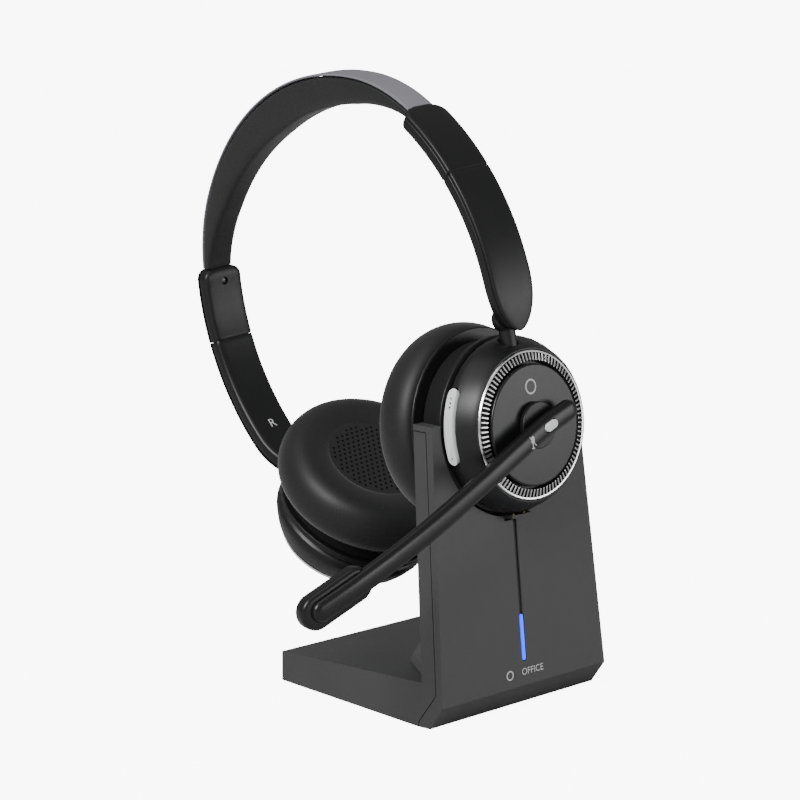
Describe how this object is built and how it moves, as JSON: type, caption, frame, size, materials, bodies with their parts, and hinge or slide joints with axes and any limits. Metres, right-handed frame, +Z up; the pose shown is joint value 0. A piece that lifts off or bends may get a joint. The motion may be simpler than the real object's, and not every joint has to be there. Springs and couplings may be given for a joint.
{
  "type": "office headset",
  "caption": "Wireless on-ear headset with a padded band, sliding arms and a turning boom microphone, standing by one ear cup in the round notch of its L-shaped charging stand.",
  "frame": {"origin": "centre of the rubber pad under the stand's foot, on the desk", "axes": "+Z up from the desk, +Y from the leaning face plate to the back of the foot, +X to the right when the face plate is seen from the front; the boom points to -X"},
  "size_m": [0.1463, 0.1835, 0.2149],
  "materials": {
    "stand_plastic": "fine matte texture",
    "dark_plastic": "matte",
    "grip_rubber": "matte",
    "steel": "satin",
    "board": "solder mask",
    "light": "translucent, lit blue",
    "contact_gold": "plated",
    "band_cover": "satin",
    "cushion_leatherette": "soft leatherette",
    "cushion_cloth": "perforated",
    "neck_plastic": "dull black",
    "shell_plastic": "satin black",
    "trim_silver": "ribbed, satin",
    "key_silver": "satin silver"
  },
  "bodies": {
    "stand": {"stand_front_shell": "stand_plastic", "stand_rear_shell": "stand_plastic", "stand_gusset": "stand_plastic", "stand_base_plate": "dark_plastic", "anti_slip_pad": "grip_rubber", "ballast_slab": "steel", "usb_c_inlet": "steel", "base_screw_1": "steel", "base_screw_2": "steel", "base_screw_3": "steel", "base_screw_4": "steel", "charging_board": "board", "status_light_pipe": "light", "face_groove_insert": "dark_plastic", "charging_ledge": "stand_plastic"},
    "left_cup": {"left_ear_cushion": "cushion_leatherette", "left_cushion_centre": "cushion_cloth", "left_cushion_plate": "shell_plastic", "left_speaker_driver": "steel", "left_cup_neck": "neck_plastic", "left_cup_flange": "shell_plastic", "left_cup_housing": "shell_plastic", "left_trim_ring": "trim_silver", "left_disc_cover": "shell_plastic", "left_circuit_board": "board"},
    "left_pivot": {"left_pivot_pin": "shell_plastic"},
    "left_arm": {"left_arm_outer_cover": "shell_plastic", "left_arm_inner_cover": "shell_plastic", "left_slide_strip": "steel"},
    "headband": {"headband_cover": "band_cover", "headband_cushion": "cushion_leatherette", "headband_spring": "steel", "left_slider_outer_shell": "shell_plastic", "left_slider_inner_shell": "shell_plastic", "left_slider_screw": "steel", "right_slider_outer_shell": "shell_plastic", "right_slider_inner_shell": "shell_plastic", "right_slider_screw": "steel"},
    "right_arm": {"right_arm_outer_cover": "shell_plastic", "right_arm_inner_cover": "shell_plastic", "right_slide_strip": "steel"},
    "right_pivot": {"right_pivot_pin": "shell_plastic"},
    "right_cup": {"right_ear_cushion": "cushion_leatherette", "right_cushion_centre": "cushion_cloth", "right_cushion_plate": "shell_plastic", "right_speaker_driver": "steel", "right_cup_neck": "neck_plastic", "right_cup_flange": "shell_plastic", "right_cup_housing": "shell_plastic", "right_trim_ring": "trim_silver", "right_disc_cover": "shell_plastic", "battery_pack": "steel"},
    "boom": {"boom_tube": "shell_plastic", "boom_hub": "shell_plastic", "mic_housing": "shell_plastic", "mic_capsule": "steel"},
    "mute_button": {"mute_button": "key_silver"},
    "volume_rocker": {"volume_rocker": "key_silver"},
    "charging_pin_1": {"charging_pin_1": "contact_gold"},
    "charging_pin_2": {"charging_pin_2": "contact_gold"}
  },
  "joints": [
    {"name": "headset_lift", "type": "slide", "parent": "stand", "child": "left_cup", "axis": [0, 0.1123, 0.9937], "range_m": [0, 0.12]},
    {"name": "left_swivel", "type": "hinge", "parent": "left_cup", "child": "left_pivot", "pos_m": [-0.00425, -0.03339, 0.13449], "axis": [0.118, -0.1116, -0.9867], "range_deg": [-10, 90]},
    {"name": "left_tilt", "type": "hinge", "parent": "left_pivot", "child": "left_arm", "pos_m": [-0.00425, -0.03339, 0.13449], "axis": [-0.9913, 0.0443, -0.1236], "range_deg": [-8, 4]},
    {"name": "left_extension", "type": "hinge", "parent": "left_arm", "child": "headband", "pos_m": [-0.00027, 0.04603, 0.13118], "axis": [-0.9913, 0.0443, -0.1236], "range_deg": [0, 10]},
    {"name": "right_extension", "type": "hinge", "parent": "headband", "child": "right_arm", "pos_m": [-0.00044, 0.04439, 0.132], "axis": [-0.9913, 0.0443, -0.1236], "range_deg": [0, 10]},
    {"name": "right_tilt", "type": "hinge", "parent": "right_arm", "child": "right_pivot", "pos_m": [0.00977, 0.09078, 0.06675], "axis": [0.9913, -0.0443, 0.1236], "range_deg": [-1.8, 16]},
    {"name": "right_swivel", "type": "hinge", "parent": "right_pivot", "child": "right_cup", "pos_m": [0.00977, 0.09078, 0.06675], "axis": [0.0332, -0.8262, -0.5623], "range_deg": [-10, 90]},
    {"name": "boom_turn", "type": "hinge", "parent": "left_cup", "child": "boom", "pos_m": [0, -0.04585, 0.09992], "axis": [0, -0.9937, 0.1123], "range_deg": [-225, 32]},
    {"name": "mute_press", "type": "slide", "parent": "boom", "child": "mute_button", "axis": [0, 0.9937, -0.1123], "range_m": [0, 0.0004], "stiffness_N_per_m": 600, "springref_m": -0.001},
    {"name": "volume_rock", "type": "hinge", "parent": "left_cup", "child": "volume_rocker", "pos_m": [-0.02838, -0.03314, 0.10109], "axis": [0, -0.9937, 0.1123], "range_deg": [-1.5, 1.5], "stiffness_Nm_per_rad": 0.04},
    {"name": "charging_pin_1_press", "type": "slide", "parent": "stand", "child": "charging_pin_1", "axis": [0, -0.1123, -0.9937], "range_m": [0, 0.0004], "stiffness_N_per_m": 300, "springref_m": -0.001},
    {"name": "charging_pin_2_press", "type": "slide", "parent": "stand", "child": "charging_pin_2", "axis": [0, -0.1123, -0.9937], "range_m": [0, 0.0004], "stiffness_N_per_m": 300, "springref_m": -0.001}
  ]
}
